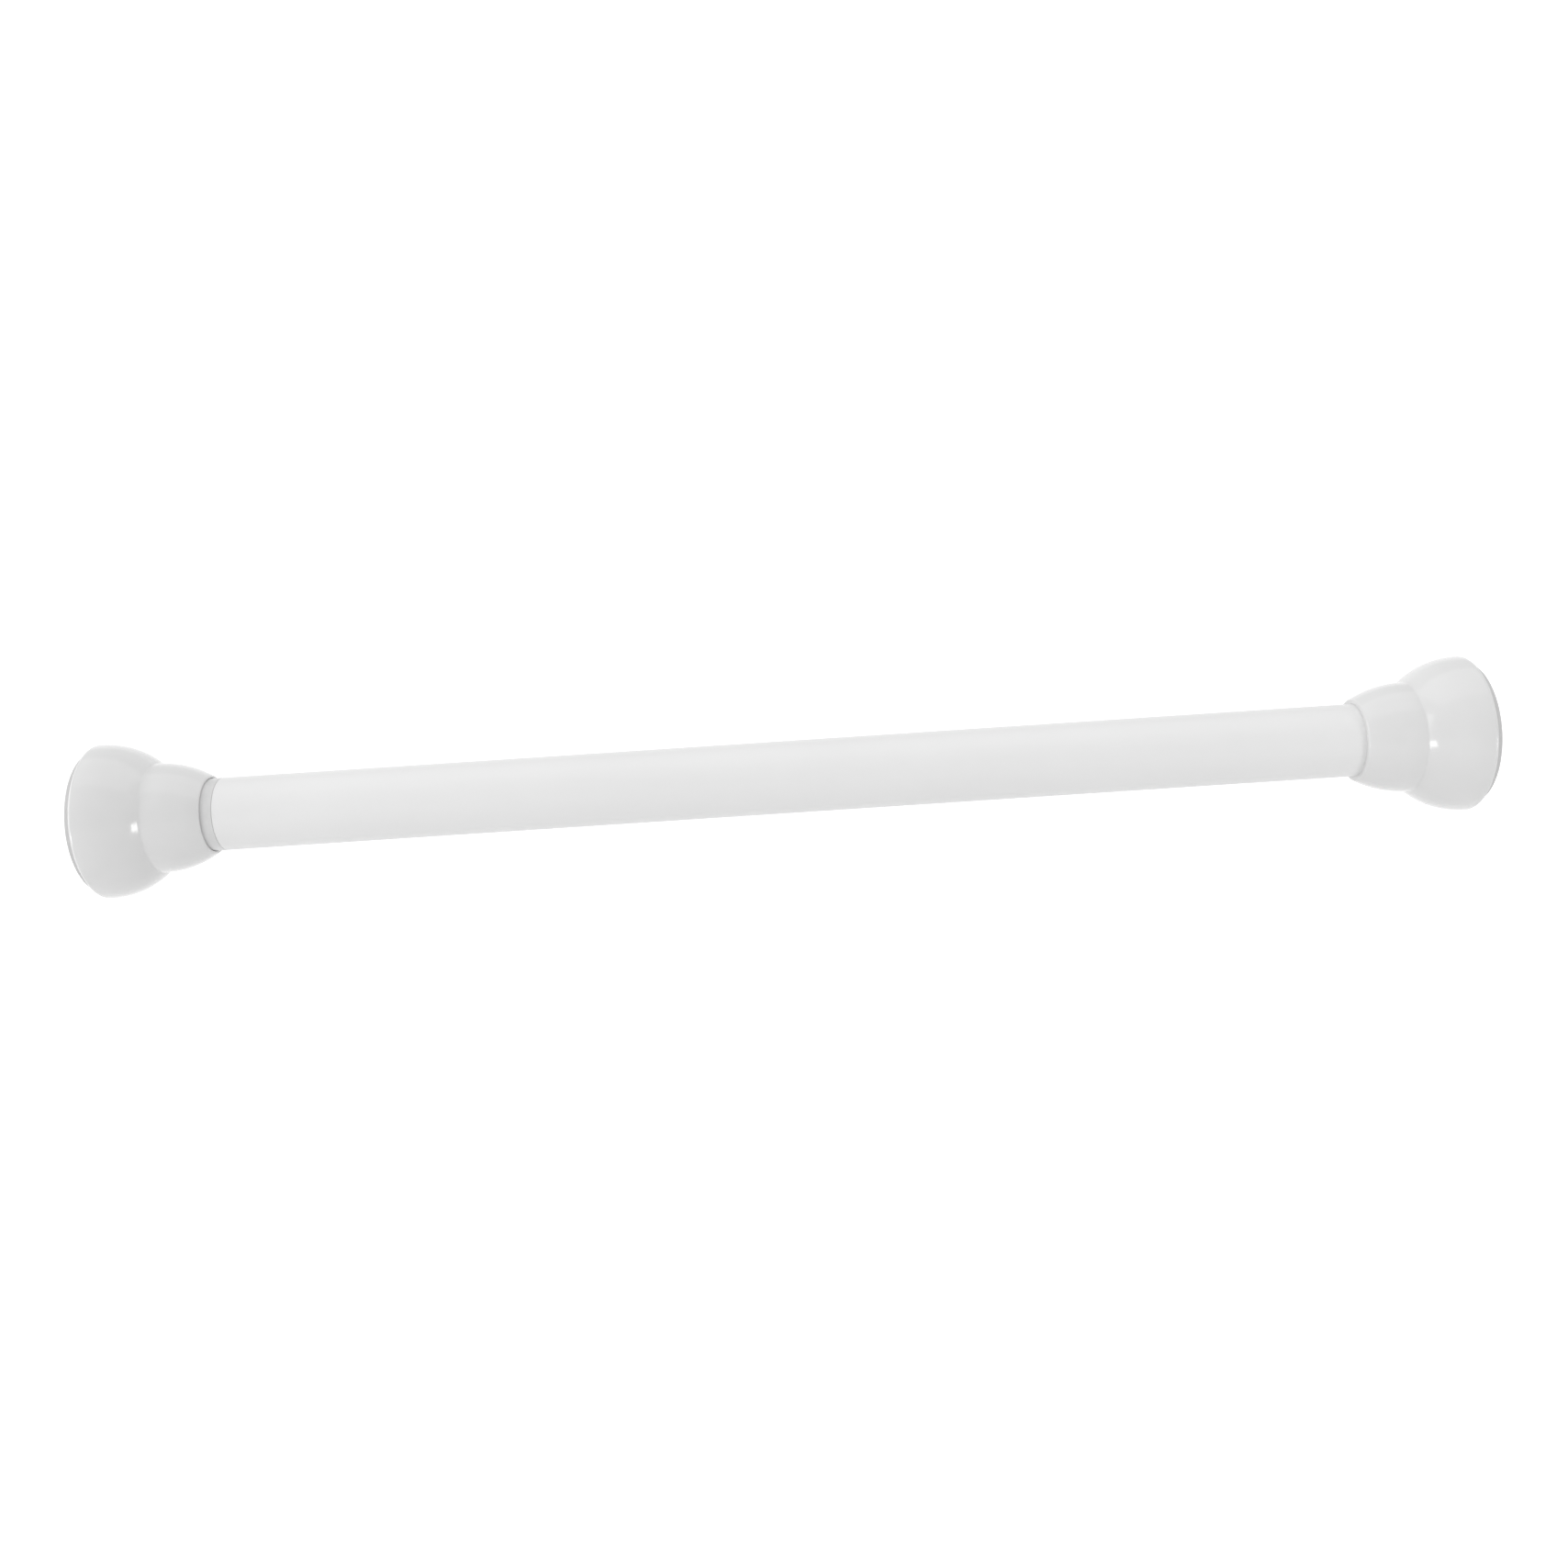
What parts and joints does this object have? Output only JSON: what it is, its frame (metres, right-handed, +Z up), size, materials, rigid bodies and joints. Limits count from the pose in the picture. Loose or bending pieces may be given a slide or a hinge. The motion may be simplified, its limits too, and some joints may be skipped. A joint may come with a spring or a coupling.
{
  "type": "extendable shower curtain rod",
  "caption": "White telescopic shower curtain rod with double-dome end covers over soft wall pads, a twist-tight expander lock and a tension spring inside.",
  "frame": {"origin": "centre of the fixed wall pad's outer face, on the rod's axis", "axes": "+X along the rod, out of the fixed end into its wall; the rod runs towards -X; +Z up as hung; +Y away from the viewer of the picture"},
  "size_m": [0.529, 0.0594, 0.0594],
  "materials": {
    "tube_paint": "satin",
    "cover_plastic": "gloss",
    "pad_rubber": "matte",
    "bush_plastic": "satin",
    "foot_plastic": "matte",
    "lock_plastic": "matte",
    "band_rubber": "matte",
    "spring_steel": "drawn",
    "plated_steel": "plated"
  },
  "bodies": {
    "outer": {"outer_tube": "tube_paint", "guide_bush": "bush_plastic", "outer_foot": "foot_plastic", "outer_foot_pin": "plated_steel", "outer_wall_pad": "pad_rubber", "outer_cover": "cover_plastic"},
    "expander": {"expander_sleeve": "lock_plastic", "expander_band": "band_rubber"},
    "cone": {"cone_nut": "lock_plastic"},
    "screw": {"lock_screw": "plated_steel", "thrust_washer": "plated_steel", "screw_clip": "spring_steel", "end_nut": "plated_steel", "plunger_washer": "plated_steel", "plunger_clip": "spring_steel"},
    "inner": {"inner_tube": "tube_paint", "inner_foot": "foot_plastic", "inner_foot_pin": "plated_steel", "inner_wall_pad": "pad_rubber", "inner_cover": "cover_plastic", "nose_bush": "bush_plastic", "upper_nose_rivet": "plated_steel", "lower_nose_rivet": "plated_steel", "tension_spring": "spring_steel", "spring_stop": "foot_plastic", "spring_stop_pin": "plated_steel"}
  },
  "joints": [
    {"name": "extension", "type": "slide", "parent": "outer", "child": "expander", "axis": [-1, 0, 0], "range_m": [0, 0.32]},
    {"name": "twist_lock", "type": "hinge", "parent": "expander", "child": "screw", "pos_m": [-0.0902, 0, 0], "axis": [1, 0, 0], "range_deg": [0, 540]},
    {"name": "cone_draw", "type": "slide", "parent": "expander", "child": "cone", "axis": [-1, 0, 0], "range_m": [0, 0.003]},
    {"name": "spring_plunge", "type": "slide", "parent": "screw", "child": "inner", "axis": [1, 0, 0], "range_m": [0, 0.02], "stiffness_N_per_m": 2720, "springref_m": -0.013, "deforming": ["tension_spring"]}
  ],
  "couplings": [
    {"joint": "cone_draw", "follows": "twist_lock", "m_per_rad": 0.00031831}
  ]
}
